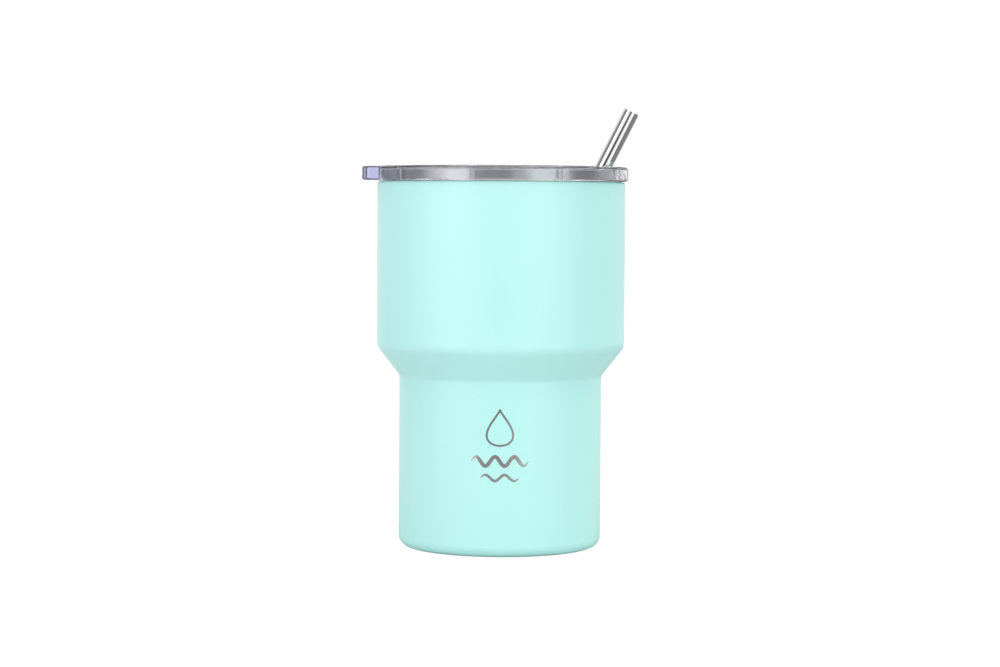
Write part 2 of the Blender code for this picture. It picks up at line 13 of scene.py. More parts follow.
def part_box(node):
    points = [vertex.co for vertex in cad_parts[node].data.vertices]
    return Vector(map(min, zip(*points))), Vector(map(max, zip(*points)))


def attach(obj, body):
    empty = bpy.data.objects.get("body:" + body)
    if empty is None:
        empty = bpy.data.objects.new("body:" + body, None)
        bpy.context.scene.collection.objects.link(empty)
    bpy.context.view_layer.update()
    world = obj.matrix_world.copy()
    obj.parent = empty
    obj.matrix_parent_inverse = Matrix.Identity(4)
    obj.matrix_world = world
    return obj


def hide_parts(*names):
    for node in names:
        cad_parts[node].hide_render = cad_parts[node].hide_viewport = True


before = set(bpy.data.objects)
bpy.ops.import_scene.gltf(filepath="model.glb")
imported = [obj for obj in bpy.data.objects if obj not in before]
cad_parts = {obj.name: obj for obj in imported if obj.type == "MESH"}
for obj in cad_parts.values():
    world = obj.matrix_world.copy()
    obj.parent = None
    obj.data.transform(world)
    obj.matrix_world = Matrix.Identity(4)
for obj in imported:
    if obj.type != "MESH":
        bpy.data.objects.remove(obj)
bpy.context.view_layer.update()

MM = 0.001

# Resolution
SEGMENTS = 192
SMALL_SEGMENTS = 64           # around the straw and small cutters
ARC_STEPS = 8
SIP_ARC_STEPS = 16            # straight runs in the sip opening's outer arc
SLIDER_FRONT_STEPS = 12       # straight runs in the slider's front, on each side of its notch
NOTCH_STEPS = 24
TAB_STEPS = 12
RAIL_ROUND_STEPS = 3
EDGE_STEPS = 3
TAB_EDGE_STEPS = 4
SLIDER_EDGE_STEPS = 2
DROP_STEPS = 96
WAVE_STEPS = 120
MERGE = 0.000002
CREASE_ANGLE = radians(32)

# Air between pieces that touch on the real object
FIT_GAP = 0.3 * MM

# Tumbler, outside
SHELL_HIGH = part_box("outer_shell")[1]
UPPER_RADIUS = SHELL_HIGH.x
SHELL_TOP = SHELL_HIGH.z
LOWER_RADIUS = 38.0 * MM
CONE_TOP = 75.3 * MM          # where the cone's line meets the upper wall
CONE_BOTTOM = 64.4 * MM       # where the cone's line meets the lower wall
SHELL_WALL = 0.5 * MM
SHELL_TOP_ROUND = 0.9 * MM
SHOULDER_ROUND = 5.7 * MM
WAIST_ROUND = 2.2 * MM
FOOT_ROUND = 4.1 * MM
FOOT_INNER_RADIUS = 29.5 * MM

# Tumbler, inside
LIP_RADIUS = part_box("inner_liner")[1].x
LIP_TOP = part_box("inner_liner")[1].z
LIP_SKIRT_BOTTOM = 136.0 * MM
LIP_SKIRT_TAPER = 1.5 * MM
LIP_ROUND = 0.7 * MM
LIP_SKIRT_ROUND = 0.3 * MM
LINER_WALL = 0.5 * MM
LINER_LOWER_RADIUS = 33.9 * MM
LINER_UPPER_RADIUS = 42.0 * MM
LINER_CONE_BOTTOM = 67.3 * MM
LINER_CONE_TOP = 77.9 * MM
LINER_CONE_ROUND = 4.0 * MM
LINER_WAIST_ROUND = 2.0 * MM
LINER_FLOOR = 8.0 * MM
LINER_FLOOR_ROUND = 5.0 * MM
MOUTH_RADIUS = 43.6 * MM
MOUTH_FLARE_BOTTOM = 121.0 * MM
MOUTH_FLARE_TOP = 126.0 * MM
MOUTH_FLARE_ROUND = 3.0 * MM

# Lid
LID_LOW, LID_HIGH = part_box("lid_body")
FLANGE_RADIUS = LID_HIGH.x
FLANGE_TOP = LID_HIGH.z
FLANGE_BOTTOM = 137.2 * MM
FLANGE_ROUND = 0.8 * MM
SKIRT_CHAMFER_HEIGHT = 0.4 * MM
SKIRT_CHAMFER_DEPTH = 0.7 * MM
SKIRT_EDGE_ROUND = 0.1 * MM
SKIRT_INNER_ROUND = 0.3 * MM
SKIRT_INNER_RADIUS = 46.1 * MM
CHANNEL_TOP = LIP_TOP + FIT_GAP
CHANNEL_OUTER_ROUND = 0.3 * MM
CHANNEL_INNER_ROUND = 0.2 * MM
PLUG_RADIUS = 43.2 * MM
PLUG_INNER_RADIUS = 39.8 * MM
PLUG_BOTTOM = LID_LOW.z
PLUG_EDGE_ROUND = 0.6 * MM
PLUG_INNER_ROUND = 0.4 * MM
DISH_FLOOR_TOP = 136.0 * MM
DISH_FLOOR_BOTTOM = 134.2 * MM
DISH_FLOOR_RADIUS = 40.0 * MM
DISH_FLOOR_ROUND = 0.8 * MM
DISH_UNDERSIDE_ROUND = 0.8 * MM
DISH_TOP_RADIUS = 42.9 * MM
DISH_RIM_ROUND = 0.5 * MM
TAB_END_X = LID_LOW.x
TAB_HALF_WIDTH = 15.6 * MM
TAB_ROOT_X = -40.0 * MM
TAB_ROUND = 4.0 * MM
TAB_CORNER_ROUND = 3.9 * MM
TAB_EDGE_ROUND = 1.0 * MM
TAB_INSET = 0.1 * MM
TAB_BOW = 1.0 * MM
TAB_CUT_HEIGHTS = 4           # height of its root's cutter, in heights of the tab
RIB_COUNT = 9
RIB_FIRST_ANGLE = radians(-103)
RIB_HALF_WIDTH = 0.9 * MM
RIB_LIFT = 0.5 * MM
RIB_ROOT = 0.8 * MM
RIB_TOP_ROOT = 0.4 * MM

# Seal ring
SEAL_LOW, SEAL_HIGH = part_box("lid_seal")
SEAL_GROOVE_RADIUS = 41.4 * MM
SEAL_GROOVE_ROUND = 0.1 * MM
SEAL_WAIST_DEPTH = 0.7 * MM
SEAL_ROUND = 0.3 * MM
SEAL_WAIST_ROUND = 0.15 * MM
SEAL_BANDS = 3                # lip, waist and lip share the ring's height
SEAL_SLOPES = 5               # slopes from lip to waist that would fit in a lip's height

# Sip opening and its slider
SIP_INNER_X = 29.0 * MM
SIP_OUTER_RADIUS = 39.3 * MM
SIP_HALF_WIDTH = 9.0 * MM
SIP_CORNER_ROUND = 2.0 * MM
CUT_HEIGHT = 10.0 * MM        # of the cutters that pass through the dish floor
SLIDER_LOW, SLIDER_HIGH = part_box("slider")
SLIDER_HALF_WIDTH = SLIDER_HIGH.y
SLIDER_BOTTOM = SLIDER_LOW.z
SLIDER_THICKNESS = 1.8 * MM
SLIDER_EDGE_ROUND = 0.25 * MM
SLIDER_TRAVEL = 12.0 * MM
SLIDER_FRONT_RADIUS = 39.2 * MM
SLIDER_CORNER_ROUND = 2.0 * MM
NOTCH_HALF_WIDTH = 3.7 * MM
NOTCH_CENTRE_X = 34.8 * MM
GRIP_CENTRE_X = 21.0 * MM
GRIP_LENGTH = 10.0 * MM
GRIP_HALF_WIDTH = 7.0 * MM
GRIP_ROUND = 2.0 * MM
GRIP_EDGE_ROUND = 0.5 * MM
DIP_RADIUS = 8.0 * MM
DIP_DEPTH = 1.4 * MM
DIP_LENGTH = 30.0 * MM
RAIL_WALL = 1.6 * MM
RAIL_LIP = 1.2 * MM
RAIL_TOP = 139.7 * MM
RAIL_EDGE_ROUND = 0.2 * MM
RAIL_FRONT_X = 26.0 * MM
RAIL_ROOT = 0.5 * MM
RAIL_CLEARANCE = 0.4 * MM
STOP_LENGTH = 1.5 * MM
STOP_HALF_WIDTH = 6.0 * MM
STOP_HEIGHT = 1.6 * MM
VENT_RADIUS = 1.25 * MM
VENT_X = -30.0 * MM

# Straw
STRAW_RADIUS = 3.0 * MM
STRAW_WALL = 0.5 * MM
STRAW_EDGE_ROUND = 0.15 * MM
STRAW_LENGTH = 172.0 * MM
STRAW_LEAN = radians(26.6)
STRAW_END = (-28.4 * MM, 0.0, 9.75 * MM)

# Cover under the foot
COVER_LOW, COVER_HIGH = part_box("base_cover")
COVER_WALL = 0.5 * MM
COVER_PANEL_RISE = 0.2 * MM
COVER_PANEL_RADIUS = 17.35 * MM
COVER_STEP_RADIUS = 18.35 * MM
COVER_STEP_ROUND = 0.3 * MM
COVER_EDGE_ROUND = 0.15 * MM
COVER_MITRE = 0.15 * MM

# Mark on the front: a drop over waves
MARK_PROUD = 0.02 * MM
MARK_DEPTH = 0.12 * MM
DROP_CENTRE_Z = 47.6 * MM
DROP_HEIGHT = 13.0 * MM
DROP_WIDTH = 9.6 * MM
DROP_TAPER = 1.5              # the higher, the finer the drop's point
DROP_STROKE = 0.75 * MM
# Each wave: middle height, length, height from trough to crest, number of waves, stroke
WAVES = [
    (35.4 * MM, 21.0 * MM, 3.4 * MM, 3, 1.4 * MM),
    (29.4 * MM, 14.0 * MM, 2.2 * MM, 2, 1.0 * MM),
]
WAVE_TIP = 0.12               # width of a wave's tips, as a part of its stroke
WAVE_TAPER = 6.0              # the higher, the sooner a wave reaches its full width

# Finishes
COAT_GRAIN_PART = 0.55        # height of the fine grain, where the orange peel's is 1
BRUSH_WANDER = 0.35 * MM      # how far brushed lines stray
BRUSH_DARK = 0.88             # colour of the darkest brushed lines, as a part of the lightest
GRAIN_DARK = 0.8              # the same for grainy or crumpled metal

# Camera
CAMERA_PLACE = (-0.0002, -0.9595, 0.1270)
CAMERA_PITCH = radians(2.803)
CAMERA_ROLL = radians(0.352)
CAMERA_LENS = 91.83

# Stage
FLOOR_RADIUS = 0.30
FLOOR_DROP = 0.02 * MM        # keeps the table clear of the foot that stands on it
TABLE_COLOUR = (0.68, 0.68, 0.68)
WHITE_STRENGTH = 1.05         # the backdrop and the table, as the camera sees them
BACKDROP = (1.0, 1.0, 1.0)
# Each panel: azimuth from and to, elevation from and to, softness of its borders (all in degrees;
# azimuth 0 is the camera's side and 90 is along +X), and its radiance
STUDIO_PANELS = [
    (95, 200, -100, -8, 3, (0.28, 0.28, 0.28)),       # below the table's edge, behind on the right
    (148, 200, 10, 60, 4, (0.20, 0.20, 0.21)),        # above the backdrop, on the right
    (-200, -155, 10, 60, 4, (0.20, 0.20, 0.21)),      # above the backdrop, on the left
    (-141, -75, -40, 18, 3, (0.48, 0.49, 0.52)),      # black flag on the left
    (67, 122, -10, 34, 3, (0.38, 0.38, 0.39)),        # black flag on the right
    (96, 125, -4, 10, 3, (0.90, 0.90, 0.91)),         # light gap in the right flag
    (-27, 22, -100, -3, 3, (0.55, 0.55, 0.56)),       # the room around the camera, below
    (-27, 22, -3, 22, 3, (0.80, 0.80, 0.81)),         # the room around the camera, above
    (8, 22, -40, -6, 2, (0.58, 0.58, 0.58)),          # front of the table
    (-140, 140, 34, 100, 6, (1.45, 1.45, 1.45)),      # white ceiling
    (-61, -31, -25, 50, 2, (2.88, 2.86, 2.90)),       # softbox on the left
    (28, 64, -25, 50, 2, (2.10, 2.26, 2.18)),         # softbox on the right
    (-71, -27, -25, 10, 3, (1.51, 1.49, 1.51)),       # the left softbox's dimmer lower part
    (24, 64, -25, 8, 3, (1.19, 1.29, 1.25)),          # the right softbox's dimmer lower part
    (46, 108, -100, -11, 3, (0.24, 0.24, 0.24)),      # the right flag's foot
    (-119, -55, 18, 40, 3, (0.28, 0.28, 0.30)),       # the left flag's taller part
    (-25, 9, -3, 14, 3, (0.05, 0.05, 0.05)),          # the camera and its operator
]


# ---------------------------------------------------------------- mesh tools

def rounded(corners, closed=False, steps=ARC_STEPS):
    """Points of an outline whose corners are (a, b, radius), with each corner rounded."""
    points = []
    count = len(corners)
    for i, (a, b, radius) in enumerate(corners):
        corner = Vector((a, b))
        is_end = not closed and i in (0, count - 1)
        if radius == 0 or is_end:
            points.append(corner)
            continue
        before = (Vector(corners[i - 1][:2]) - corner).normalized()
        after = (Vector(corners[(i + 1) % count][:2]) - corner).normalized()
        half_angle = before.angle(after) / 2
        centre = corner + (before + after).normalized() * (radius / sin(half_angle))
        first = corner + before * (radius / tan(half_angle)) - centre
        last = corner + after * (radius / tan(half_angle)) - centre
        start = atan2(first.y, first.x)
        sweep = atan2(first.cross(last), first.dot(last))
        for step in range(steps + 1):
            angle = start + sweep * step / steps
            points.append(centre + Vector((cos(angle), sin(angle))) * radius)
    return points


def arc(radius, start, end, steps):
    """Points on a circle about the origin."""
    angles = [start + (end - start) * i / steps for i in range(steps + 1)]
    return [(radius * cos(a), radius * sin(a)) for a in angles]


def link(name, data):
    obj = bpy.data.objects.new(name, data)
    bpy.context.scene.collection.objects.link(obj)
    return obj


def smooth(mesh):
    mesh.shade_smooth()
    mesh.set_sharp_from_angle(angle=CREASE_ANGLE)


def lathe(name, corners, closed=False, segments=SEGMENTS):
    """Turn a (radius, height, rounding) profile, which runs down its outer side, about Z."""
    profile = rounded(corners, closed)
    turned = bmesh.new()
    rings = []
    for point in profile:
        if point.x < MERGE:
            rings.append([turned.verts.new((0, 0, point.y))] * segments)
            continue
        angles = [2 * pi * i / segments for i in range(segments)]
        places = [(point.x * cos(a), point.x * sin(a), point.y) for a in angles]
        rings.append([turned.verts.new(place) for place in places])
    pairs = list(zip(rings, rings[1:]))
    if closed:
        pairs.append((rings[-1], rings[0]))
    for upper, lower in pairs:
        for i in range(segments):
            k = (i + 1) % segments
            corners_of_face = []
            for vert in (upper[i], lower[i], lower[k], upper[k]):
                if vert not in corners_of_face:
                    corners_of_face.append(vert)
            turned.faces.new(corners_of_face)
    mesh = bpy.data.meshes.new(name)
    turned.to_mesh(mesh)
    turned.free()
    smooth(mesh)
    return link(name, mesh)


def settle(obj):
    """Replace an object by its evaluated mesh, welded, at the same place."""
    bpy.context.view_layer.update()
    graph = bpy.context.evaluated_depsgraph_get()
    mesh = bpy.data.meshes.new_from_object(obj.evaluated_get(graph))
    welded = bmesh.new()
    welded.from_mesh(mesh)
    bmesh.ops.remove_doubles(welded, verts=welded.verts, dist=MERGE)
    welded.to_mesh(mesh)
    welded.free()
    smooth(mesh)
    name = obj.name
    place = obj.matrix_world.copy()
    bpy.data.objects.remove(obj, do_unlink=True)
    settled = link(name, mesh)
    settled.matrix_world = place
    mesh.name = name
    return settled


def extruded(name, outline, thickness, edge_round=0.0, edge_steps=EDGE_STEPS):
    """Extrude a closed XY outline about z = 0; an edge rounding stays inside the outline."""
    curve = bpy.data.curves.new(name, "CURVE")
    curve.dimensions = "2D"
    curve.fill_mode = "BOTH"
    curve.extrude = thickness / 2 - edge_round
    curve.bevel_depth = edge_round
    curve.bevel_resolution = edge_steps
    curve.offset = -edge_round
    spline = curve.splines.new("POLY")
    spline.points.add(len(outline) - 1)
    for point, place in zip(spline.points, outline):
        point.co = (place[0], place[1], 0.0, 1.0)
    spline.use_cyclic_u = True
    return settle(link(name, curve))


def moved(obj, matrix):
    """Move an object's mesh, so that its origin stays where it was."""
    obj.data.transform(matrix)
    return obj


def cylinder(name, radius, height, matrix, segments=SMALL_SEGMENTS):
    shape = bmesh.new()
    bmesh.ops.create_cone(
        shape, cap_ends=True, segments=segments, radius1=radius, radius2=radius,
        depth=height, matrix=matrix)
    mesh = bpy.data.meshes.new(name)
    shape.to_mesh(mesh)
    shape.free()
    return link(name, mesh)


def box(name, low, high, turn=Matrix.Identity(4)):
    """A box between two corners, turned about the origin."""
    low = Vector(low)
    high = Vector(high)
    shape = bmesh.new()
    size = Matrix.Diagonal((*(high - low), 1.0))
    place = turn @ Matrix.Translation((low + high) / 2)
    bmesh.ops.create_cube(shape, size=1.0, matrix=place @ size)
    mesh = bpy.data.meshes.new(name)
    shape.to_mesh(mesh)
    shape.free()
    return link(name, mesh)


def combine(obj, tools):
    """Join each (tool, operation) to an object with exact Booleans, and remove the tools."""
    for tool, operation in tools:
        modifier = obj.modifiers.new(tool.name, "BOOLEAN")
        modifier.operation = operation
        modifier.solver = "EXACT"
        modifier.object = tool
    combined = settle(obj)
    for tool, _ in tools:
        bpy.data.objects.remove(tool, do_unlink=True)
    return combined


# ---------------------------------------------------------------- materials

class Nodes:
    """Short calls for the nodes of one shader tree."""

    def __init__(self, tree):
        self.tree = tree

    def feed(self, socket, value):
        """Link an output to a socket, or set the socket's own value."""
        if isinstance(value, bpy.types.NodeSocket):
            self.tree.links.new(value, socket)
        elif socket.type == "RGBA":
            socket.default_value = (*value, 1.0)
        else:
            socket.default_value = value

    def add(self, kind, settings=None, **inputs):
        """Add a node; an input, by its name or as _number, is a value or another node's output."""
        node = self.tree.nodes.new(kind)
        for key, value in (settings or {}).items():
            setattr(node, key, value)
        for key, value in inputs.items():
            index = int(key[1:]) if key[1:].isdigit() else key.replace("_", " ")
            self.feed(node.inputs[index], value)
        return node

    def math(self, operation, *values):
        inputs = {f"_{i}": value for i, value in enumerate(values)}
        return self.add("ShaderNodeMath", {"operation": operation}, **inputs).outputs[0]

    def spread(self, value, low, high):
        """Map a 0 to 1 value to a range."""
        return self.add("ShaderNodeMapRange", Value=value, To_Min=low, To_Max=high).outputs[0]

    def step(self, value, start, end):
        """A smooth rise from 0 at start to 1 at end, or a fall where end is the lower."""
        return self.add(
            "ShaderNodeMapRange", {"interpolation_type": "SMOOTHSTEP"}, Value=value,
            From_Min=start, From_Max=end).outputs[0]

    def window(self, value, low, high, soft):
        """1 between two values and 0 outside them, with soft borders."""
        rise = self.step(value, low - soft, low + soft)
        fall = self.step(value, high + soft, high - soft)
        return self.math("MULTIPLY", rise, fall)

    def blend(self, factor, first, second):
        mix = self.add("ShaderNodeMix", {"data_type": "RGBA"}, Factor=factor)
        self.feed(mix.inputs[6], first)
        self.feed(mix.inputs[7], second)
        return mix.outputs[2]


class Shader(Nodes):
    """A Principled material with short calls for its textures."""

    def __init__(self, name, **inputs):
        self.material = bpy.data.materials.new(name)
        self.material.use_nodes = True
        super().__init__(self.material.node_tree)
        self.principled = self.tree.nodes["Principled BSDF"]
        for socket, value in inputs.items():
            self.feed(self.principled.inputs[socket.replace("_", " ")], value)

    def place(self):
        return self.add("ShaderNodeTexCoord").outputs["Object"]

    def noise(self, vector, scale, detail=2.0, roughness=0.5):
        return self.add(
            "ShaderNodeTexNoise", Vector=vector, Scale=scale, Detail=detail,
            Roughness=roughness).outputs["Fac"]

    def lines(self, value, scale, detail=2.0):
        """Noise along one coordinate, as brushing leaves it."""
        return self.add(
            "ShaderNodeTexNoise", {"noise_dimensions": "1D"}, W=value, Scale=scale,
            Detail=detail).outputs["Fac"]

    def drive(self, socket, output):
        self.feed(self.principled.inputs[socket], output)

    def bump(self, height, depth):
        bump = self.add("ShaderNodeBump", Height=height, Distance=depth)
        self.drive("Normal", bump.outputs["Normal"])


def powder_coat():
    shader = Shader("mint_powder_coat", IOR=1.62)
    place = shader.place()
    grain = shader.noise(place, scale=2400.0, detail=3.0)
    orange_peel = shader.noise(place, scale=620.0, detail=2.0)
    cloud = shader.noise(place, scale=55.0, detail=2.0)
    height = shader.math("ADD", shader.math("MULTIPLY", grain, COAT_GRAIN_PART), orange_peel)
    shader.bump(height, depth=0.022 * MM)
    shader.drive("Base Color", shader.blend(cloud, (0.475, 0.862, 0.828), (0.495, 0.877, 0.843)))
    shader.drive("Roughness", shader.spread(orange_peel, low=0.32, high=0.42))
    return shader.material


def brushed_steel(name, direction, colour=(0.52, 0.52, 0.53), roughness=0.38, anisotropy=0.8):
    """Steel brushed around Z; its fine lines vary with height, or with radius on a flat face."""
    shader = Shader(name, Metallic=1.0, Anisotropic=anisotropy, Anisotropic_Rotation=0.25)
    place = shader.place()
    parts = shader.add("ShaderNodeSeparateXYZ", Vector=place).outputs
    if direction == "height":
        along = parts["Z"]
    else:
        flat = shader.add("ShaderNodeCombineXYZ", X=parts["X"], Y=parts["Y"]).outputs[0]
        radius = shader.add("ShaderNodeVectorMath", {"operation": "LENGTH"}, _0=flat)
        along = radius.outputs["Value"]
    wander = shader.math("MULTIPLY", shader.noise(place, scale=45.0), BRUSH_WANDER)
    fine = shader.lines(shader.math("ADD", along, wander), scale=9000.0, detail=3.0)
    smudge = shader.noise(place, scale=90.0, detail=3.0)
    shader.bump(fine, depth=0.004 * MM)
    darker = tuple(BRUSH_DARK * c for c in colour)
    shader.drive("Base Color", shader.blend(fine, darker, colour))
    shader.drive("Roughness", shader.spread(smudge, low=roughness - 0.04, high=roughness + 0.06))
    tangent = shader.add("ShaderNodeTangent", {"direction_type": "RADIAL", "axis": "Z"})
    shader.drive("Tangent", tangent.outputs["Tangent"])
    return shader.material


def polished_steel():
    """Mirror-polished tube with faint draw lines along its length."""
    shader = Shader("polished_steel", Metallic=1.0)
    place = shader.place()
    parts = shader.add("ShaderNodeSeparateXYZ", Vector=place).outputs
    turn = shader.math("ARCTAN2", parts["Y"], parts["X"])
    draw = shader.lines(turn, scale=22.0, detail=3.0)
    smear = shader.noise(place, scale=160.0, detail=2.0)
    shader.bump(draw, depth=0.001 * MM)
    shader.drive("Base Color", shader.blend(smear, (0.80, 0.80, 0.81), (0.86, 0.86, 0.87)))
    shader.drive("Roughness", shader.spread(smear, low=0.02, high=0.05))
    return shader.material


def clear_plastic(name):
    """Clear moulded plastic with a slight violet cast in its thickness."""
    shader = Shader(
        name, Base_Color=(0.985, 0.985, 0.99), Transmission_Weight=1.0, IOR=1.53, Roughness=0.02)
    place = shader.place()
    streaks = shader.add(
        "ShaderNodeVectorMath", {"operation": "MULTIPLY"}, _0=place, _1=(1.0, 1.0, 3.0))
    flow = shader.noise(streaks.outputs[0], scale=150.0, detail=3.0)
    haze = shader.noise(place, scale=900.0, detail=2.0)
    shader.bump(flow, depth=0.14 * MM)
    shader.drive("Roughness", shader.spread(haze, low=0.012, high=0.040))
    absorption = shader.add("ShaderNodeVolumeAbsorption", Color=(0.08, 0.08, 0.76), Density=20.0)
    output = shader.tree.nodes["Material Output"]
    shader.tree.links.new(absorption.outputs["Volume"], output.inputs["Volume"])
    return shader.material


def silicone():
    shader = Shader("white_silicone", Subsurface_Weight=0.25, Subsurface_Scale=1.5 * MM, IOR=1.41)
    place = shader.place()
    dust = shader.noise(place, scale=1500.0, detail=3.0)
    shader.bump(dust, depth=0.01 * MM)
    shader.drive("Base Color", shader.blend(dust, (0.80, 0.81, 0.83), (0.88, 0.89, 0.90)))
    shader.drive("Roughness", shader.spread(dust, low=0.42, high=0.56))
    return shader.material


def rough_metal(name, colour, roughness, grain, depth):
    """Foil, getter alloy or plain sheet: crumpled or grainy at the given scale."""
    shader = Shader(name, Metallic=1.0)
    place = shader.place()
    relief = shader.noise(place, scale=grain, detail=4.0, roughness=0.6)
    shader.bump(relief, depth=depth)
    darker = tuple(GRAIN_DARK * c for c in colour)
    shader.drive("Base Color", shader.blend(relief, darker, colour))
    shader.drive("Roughness", shader.spread(relief, low=roughness - 0.08, high=roughness + 0.08))
    return shader.material


def glass_solder():
    shader = Shader("glass_solder", IOR=1.6)
    place = shader.place()
    bubbles = shader.noise(place, scale=1200.0, detail=2.0)
    shader.bump(bubbles, depth=0.03 * MM)
    shader.drive("Base Color", shader.blend(bubbles, (0.10, 0.10, 0.12), (0.24, 0.24, 0.27)))
    shader.drive("Roughness", shader.spread(bubbles, low=0.25, high=0.45))
    return shader.material


def paint(obj, material):
    obj.data.materials.clear()
    obj.data.materials.append(material)


def paint_node(name, material):
    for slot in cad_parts[name].material_slots:
        slot.material = material


# ---------------------------------------------------------------- pieces

def place_piece(piece, node, body, material):
    """Give a piece its finish, and let it stand for a CAD node and move with its body."""
    paint(piece, material)
    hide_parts(node)
    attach(piece, body)
    return piece


def make_shell():
    """Powder-coated outer wall, from its shoulder under the lip to its rolled foot."""
    shell = lathe("mug_shell", [
        (LIP_RADIUS + FIT_GAP, SHELL_TOP, 0),
        (UPPER_RADIUS, SHELL_TOP, SHELL_TOP_ROUND),
        (UPPER_RADIUS, CONE_TOP, SHOULDER_ROUND),
        (LOWER_RADIUS, CONE_BOTTOM, WAIST_ROUND),
        (LOWER_RADIUS, 0, FOOT_ROUND),
        (FOOT_INNER_RADIUS, 0, 0),
    ])
    wall = shell.modifiers.new("wall", "SOLIDIFY")
    wall.thickness = SHELL_WALL
    wall.offset = -1.0
    wall.use_even_offset = True
    shell = settle(shell)
    place_piece(shell, "outer_shell", "cup", powder_coat())


def make_liner():
    """Brushed steel inner cup with its thick lip."""
    wall = LINER_WALL
    liner = lathe("mug_liner", [
        (0, LINER_FLOOR, 0),
        (LINER_LOWER_RADIUS, LINER_FLOOR, LINER_FLOOR_ROUND),
        (LINER_LOWER_RADIUS, LINER_CONE_BOTTOM, LINER_WAIST_ROUND),
        (LINER_UPPER_RADIUS, LINER_CONE_TOP, LINER_CONE_ROUND),
        (LINER_UPPER_RADIUS, MOUTH_FLARE_BOTTOM, MOUTH_FLARE_ROUND),
        (MOUTH_RADIUS, MOUTH_FLARE_TOP, MOUTH_FLARE_ROUND),
        (MOUTH_RADIUS, LIP_TOP, LIP_ROUND),
        (LIP_RADIUS, LIP_TOP, LIP_ROUND),
        (LIP_RADIUS, LIP_SKIRT_BOTTOM, LIP_SKIRT_ROUND),
        (MOUTH_RADIUS + wall, LIP_SKIRT_BOTTOM - LIP_SKIRT_TAPER, LIP_SKIRT_ROUND),
        (MOUTH_RADIUS + wall, MOUTH_FLARE_TOP, MOUTH_FLARE_ROUND),
        (LINER_UPPER_RADIUS + wall, MOUTH_FLARE_BOTTOM, MOUTH_FLARE_ROUND),
        (LINER_UPPER_RADIUS + wall, LINER_CONE_TOP, LINER_CONE_ROUND),
        (LINER_LOWER_RADIUS + wall, LINER_CONE_BOTTOM, LINER_WAIST_ROUND),
        (LINER_LOWER_RADIUS + wall, LINER_FLOOR - wall, LINER_FLOOR_ROUND + wall),
        (0, LINER_FLOOR - wall, 0),
    ])
    place_piece(liner, "inner_liner", "cup", brushed_steel("liner_steel", "height"))


def make_base():
    """Brushed disc under the foot, with a raised round panel and a turned groove."""
    low = COVER_LOW.z
    high = COVER_HIGH.z
    radius = COVER_HIGH.x
    mitre = COVER_MITRE
    panel = low + COVER_PANEL_RISE
    base = lathe("mug_base", [
        (0, high, 0),
        (COVER_PANEL_RADIUS + mitre, high, COVER_STEP_ROUND),
        (COVER_STEP_RADIUS + mitre, low + COVER_WALL, COVER_STEP_ROUND),
        (radius, low + COVER_WALL, 0),
        (radius, low, COVER_EDGE_ROUND),
        (COVER_STEP_RADIUS - mitre, low, COVER_STEP_ROUND),
        (COVER_PANEL_RADIUS - mitre, panel, COVER_STEP_ROUND),
        (0, panel, 0),
    ])
    place_piece(base, "base_cover", "cup", brushed_steel("base_steel", "radius"))


def make_tab():
    """Thumb tab with a bowed end and rounded edges, cut to the curve of the flange's wall."""
    bow_radius = (TAB_HALF_WIDTH ** 2 + TAB_BOW ** 2) / (2 * TAB_BOW)
    bow_half = asin((TAB_HALF_WIDTH - TAB_ROUND) / bow_radius)
    corner_x = TAB_END_X + bow_radius * (1 - cos(bow_half))
    outline = [(TAB_ROOT_X, -TAB_HALF_WIDTH, 0), (TAB_ROOT_X, TAB_HALF_WIDTH, 0)]
    outline.append((corner_x, TAB_HALF_WIDTH, TAB_CORNER_ROUND))
    for i in range(TAB_STEPS + 1):
        angle = bow_half * (1 - 2 * i / TAB_STEPS)
        outline.append((TAB_END_X + bow_radius * (1 - cos(angle)), bow_radius * sin(angle), 0))
    outline.append((corner_x, -TAB_HALF_WIDTH, TAB_CORNER_ROUND))
    height = FLANGE_TOP - FLANGE_BOTTOM - 2 * TAB_INSET
    middle = Matrix.Translation((0, 0, (FLANGE_TOP + FLANGE_BOTTOM) / 2))
    outline = rounded(outline, closed=True)
    tab = moved(extruded("thumb_tab", outline, height, TAB_EDGE_ROUND, TAB_EDGE_STEPS), middle)
    root_radius = (SKIRT_INNER_RADIUS + FLANGE_RADIUS) / 2
    root = cylinder("tab_root", root_radius, TAB_CUT_HEIGHTS * height, middle, SEGMENTS)
    return combine(tab, [(root, "DIFFERENCE")])


def sip_outline():
    """Outline of the sip opening: straight inside, following the dish wall outside."""
    half = asin(SIP_HALF_WIDTH / SIP_OUTER_RADIUS)
    outer = [(x, y, 0) for x, y in arc(SIP_OUTER_RADIUS, -half, half, SIP_ARC_STEPS)]
    inner = [
        (SIP_INNER_X, SIP_HALF_WIDTH, SIP_CORNER_ROUND),
        (SIP_INNER_X, -SIP_HALF_WIDTH, SIP_CORNER_ROUND),
    ]
    return rounded(outer + inner, closed=True)


